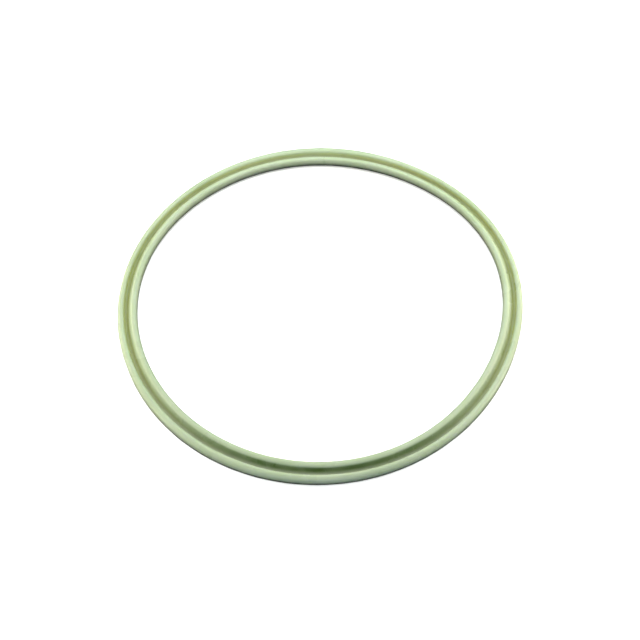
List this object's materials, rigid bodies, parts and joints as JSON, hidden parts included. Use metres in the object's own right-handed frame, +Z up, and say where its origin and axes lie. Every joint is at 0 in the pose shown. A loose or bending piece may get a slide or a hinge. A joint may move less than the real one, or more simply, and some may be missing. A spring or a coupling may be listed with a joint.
{
  "type": "pressure cooker sealing ring",
  "caption": "Round silicone sealing ring for a stovetop pressure cooker lid: a low channel section with an outer lip, an inner lip and an open moat between them.",
  "frame": {"origin": "centre of the flat face that the ring rests on, on the ring's axis", "axes": "+Z up along the ring's axis, out of the open side of the moat"},
  "size_m": [0.24, 0.24, 0.0076],
  "materials": {
    "silicone": "satin"
  },
  "bodies": {
    "root": {"sealing_ring": "silicone"}
  },
  "joints": []
}
